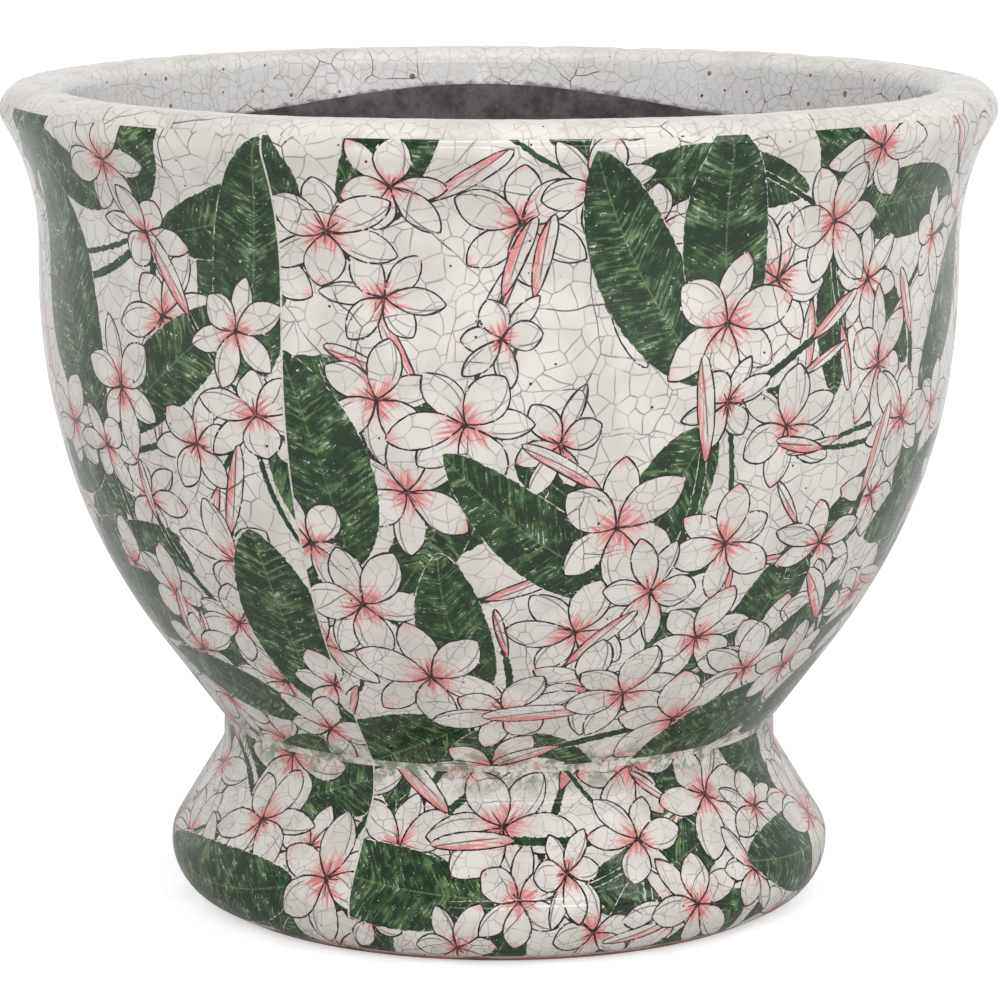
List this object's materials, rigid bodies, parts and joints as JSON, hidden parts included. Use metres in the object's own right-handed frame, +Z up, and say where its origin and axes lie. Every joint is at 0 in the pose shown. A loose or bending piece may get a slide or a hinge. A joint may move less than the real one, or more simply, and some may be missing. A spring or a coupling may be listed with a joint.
{
  "type": "footed planter",
  "caption": "Round terracotta planter on a flared foot, with a rolled lip, a drain hole, white crackle glaze and a printed flower pattern.",
  "frame": {"origin": "centre of the ring that it rests on, at floor level", "axes": "+Z up along the planter's axis; -Y is the front in the picture"},
  "size_m": [0.3006, 0.3006, 0.25],
  "materials": {
    "terracotta": "bare fired clay",
    "slip": "bare fired slip",
    "crackle_glaze": "gloss, crackled",
    "sealer": "dark satin sealer",
    "printed_glaze": "gloss, printed with flowers and leaves, crackled"
  },
  "bodies": {
    "root": {"bowl_body": "terracotta", "foot_body": "terracotta", "slip_joint": "slip", "bowl_glaze": "crackle_glaze", "foot_glaze": "crackle_glaze", "inner_sealer": "sealer", "print_sheet_1": "printed_glaze", "print_sheet_2": "printed_glaze", "print_sheet_3": "printed_glaze", "foot_strip_1": "printed_glaze", "foot_strip_2": "printed_glaze", "foot_strip_3": "printed_glaze"}
  },
  "joints": []
}
